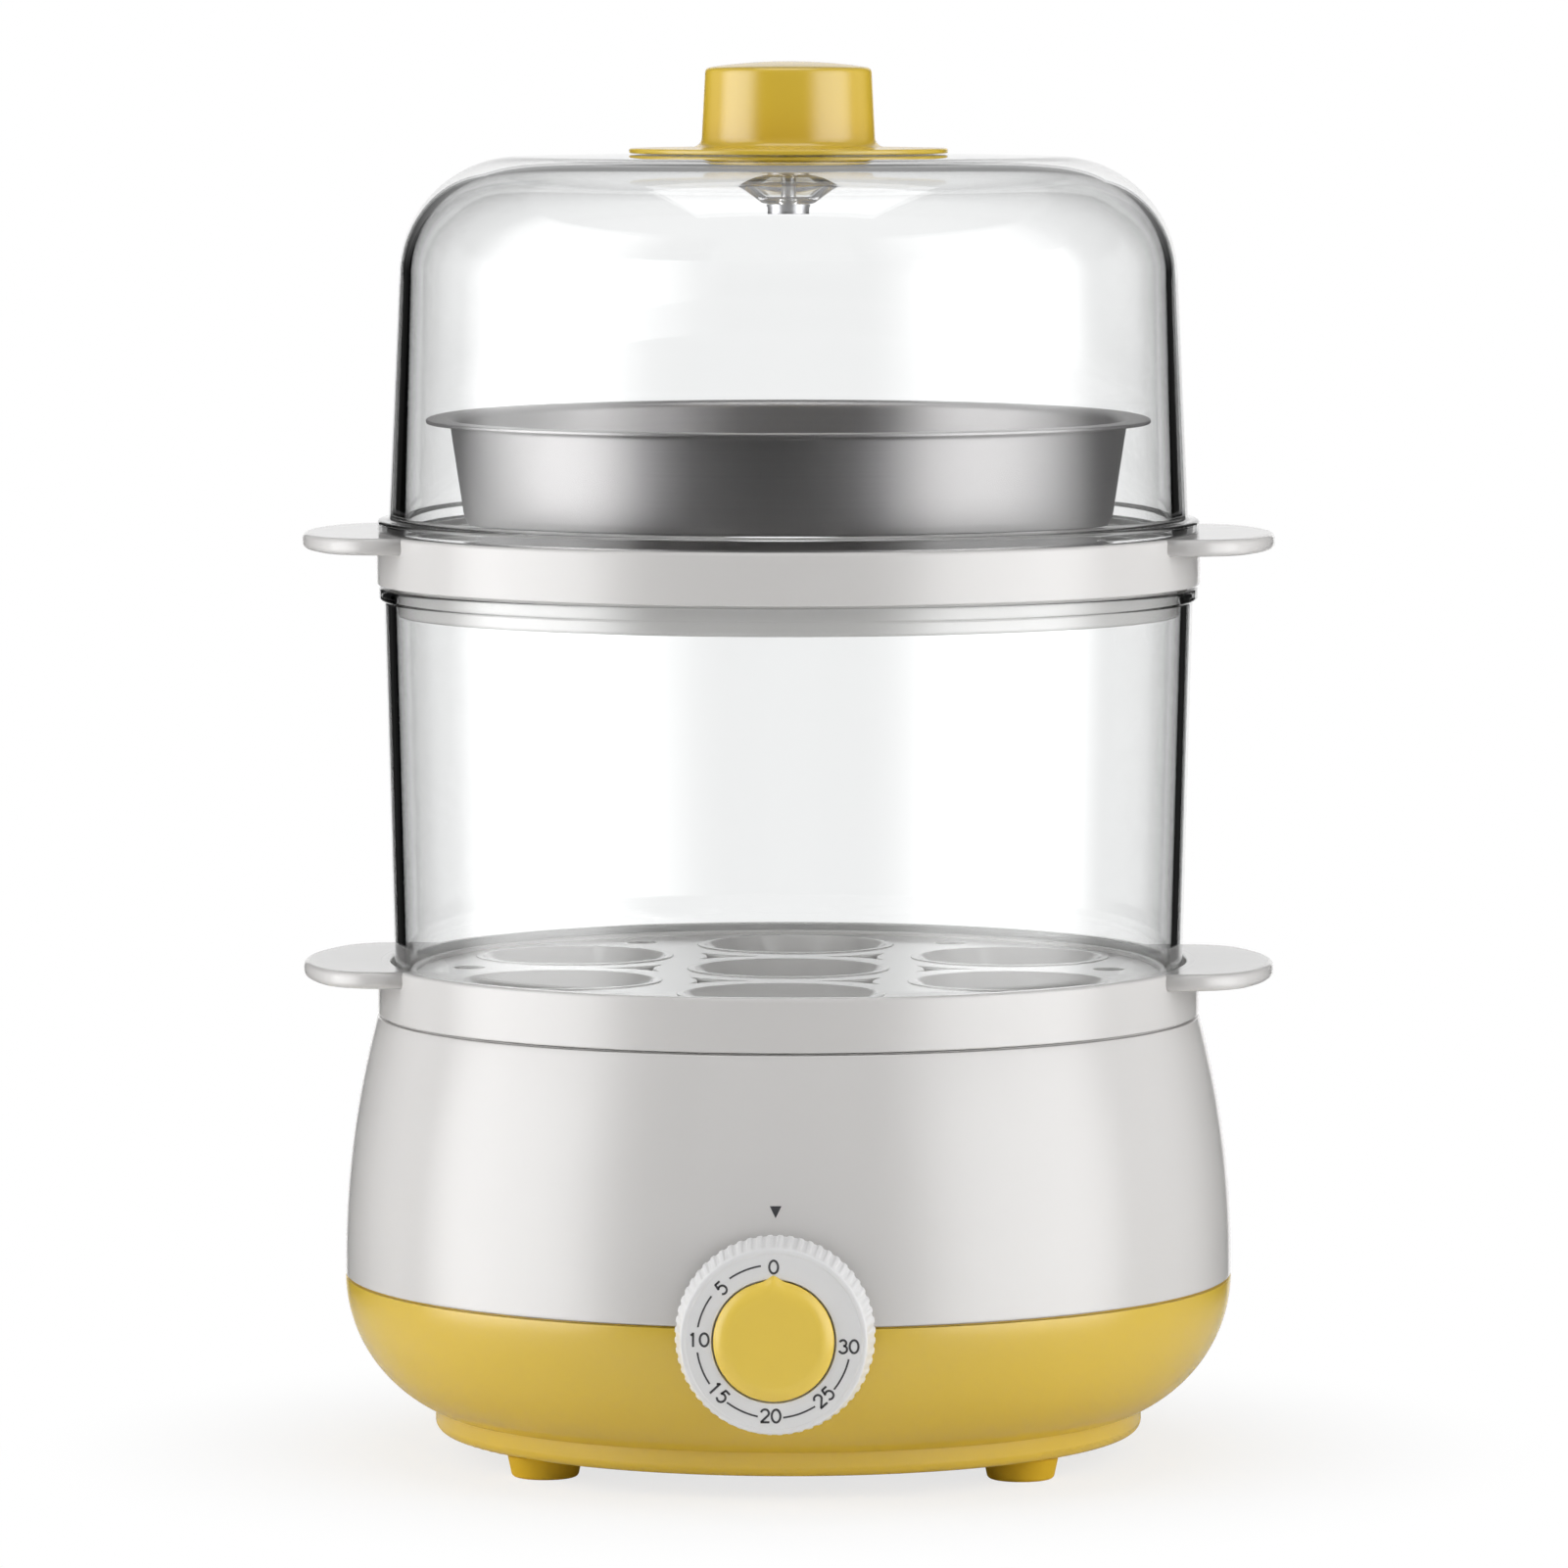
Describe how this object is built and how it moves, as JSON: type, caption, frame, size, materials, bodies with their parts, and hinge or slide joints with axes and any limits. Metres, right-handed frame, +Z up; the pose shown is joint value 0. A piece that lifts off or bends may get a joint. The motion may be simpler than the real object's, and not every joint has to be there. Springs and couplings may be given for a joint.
{
  "type": "egg cooker",
  "caption": "Round two-tier egg cooker: base with timer dial and heating plate, egg trays with finger tabs, clear tier, steel steaming bowl and clear domed lid with a knob.",
  "frame": {"origin": "on the upright axis of the cooker, in the plane that the feet stand on", "axes": "+Z up along the stack, -Y to the front where the dial is, +X to the right seen from the front"},
  "size_m": [0.1968, 0.1961, 0.2819],
  "materials": {
    "white_plastic": "gloss moulded plastic",
    "yellow_plastic": "semi-gloss moulded plastic",
    "clear_plastic": "clear polished plastic",
    "grey_plastic": "satin moulded plastic",
    "black_plastic": "matte moulded plastic",
    "stainless": "satin drawn sheet",
    "steel": "zinc plated",
    "aluminium": "cast",
    "brass": "plain",
    "yellow_rubber": "matte",
    "silicone": "matte",
    "wire_sleeve": "matte"
  },
  "bodies": {
    "base": {"upper_housing": "white_plastic", "lower_shell": "yellow_plastic", "bottom_cover": "yellow_plastic", "feet": "yellow_rubber", "case_screws": "steel", "heating_plate": "stainless", "plate_seal": "silicone", "plate_studs": "steel", "plate_nuts": "steel", "heat_spreader": "aluminium", "heater_element": "stainless", "heater_pins": "steel", "thermostat": "black_plastic", "thermostat_bracket": "steel", "thermostat_screws": "steel", "thermal_fuse": "black_plastic", "fuse_clip": "steel", "fuse_clip_screw": "steel", "timer_plate": "steel", "timer_screws": "steel", "timer_case": "black_plastic", "contact_leaves": "brass", "escape_arbor": "steel", "mainspring": "steel", "terminal_block": "black_plastic", "terminal_screws": "brass", "cord_gland": "black_plastic", "internal_leads": "wire_sleeve"},
    "dial": {"dial_knob": "grey_plastic", "dial_cap": "yellow_plastic", "timer_shaft": "steel", "timer_cam": "black_plastic", "drive_gear": "brass"},
    "escape": {"escape_wheel": "brass"},
    "lower_tray": {"lower_egg_tray": "white_plastic"},
    "tier": {"clear_tier": "clear_plastic"},
    "upper_tray": {"upper_egg_tray": "white_plastic"},
    "bowl": {"steam_bowl": "stainless"},
    "lid": {"lid_dome": "clear_plastic", "lid_knob": "yellow_plastic", "lid_knob_washer": "steel", "lid_knob_screw": "steel"}
  },
  "joints": [
    {"name": "dial_turn", "type": "hinge", "parent": "base", "child": "dial", "pos_m": [0, -0.091, 0.0356], "axis": [0, 1, 0], "range_deg": [0, 270]},
    {"name": "escape_turn", "type": "hinge", "parent": "base", "child": "escape", "pos_m": [0.0115, -0.0735, 0.0356], "axis": [0, 1, 0], "range_deg": [-1500, 130]},
    {"name": "lower_tray_lift", "type": "slide", "parent": "base", "child": "lower_tray", "axis": [0, 0, 1], "range_m": [0, 0.06]},
    {"name": "tier_lift", "type": "slide", "parent": "lower_tray", "child": "tier", "axis": [0, 0, 1], "range_m": [0, 0.06]},
    {"name": "upper_tray_lift", "type": "slide", "parent": "tier", "child": "upper_tray", "axis": [0, 0, 1], "range_m": [0, 0.06]},
    {"name": "bowl_lift", "type": "slide", "parent": "upper_tray", "child": "bowl", "axis": [0, 0, 1], "range_m": [0, 0.03]},
    {"name": "lid_lift", "type": "slide", "parent": "upper_tray", "child": "lid", "axis": [0, 0, 1], "range_m": [0, 0.09]}
  ],
  "couplings": [
    {"joint": "escape_turn", "follows": "dial_turn", "ratio": -3.6}
  ]
}
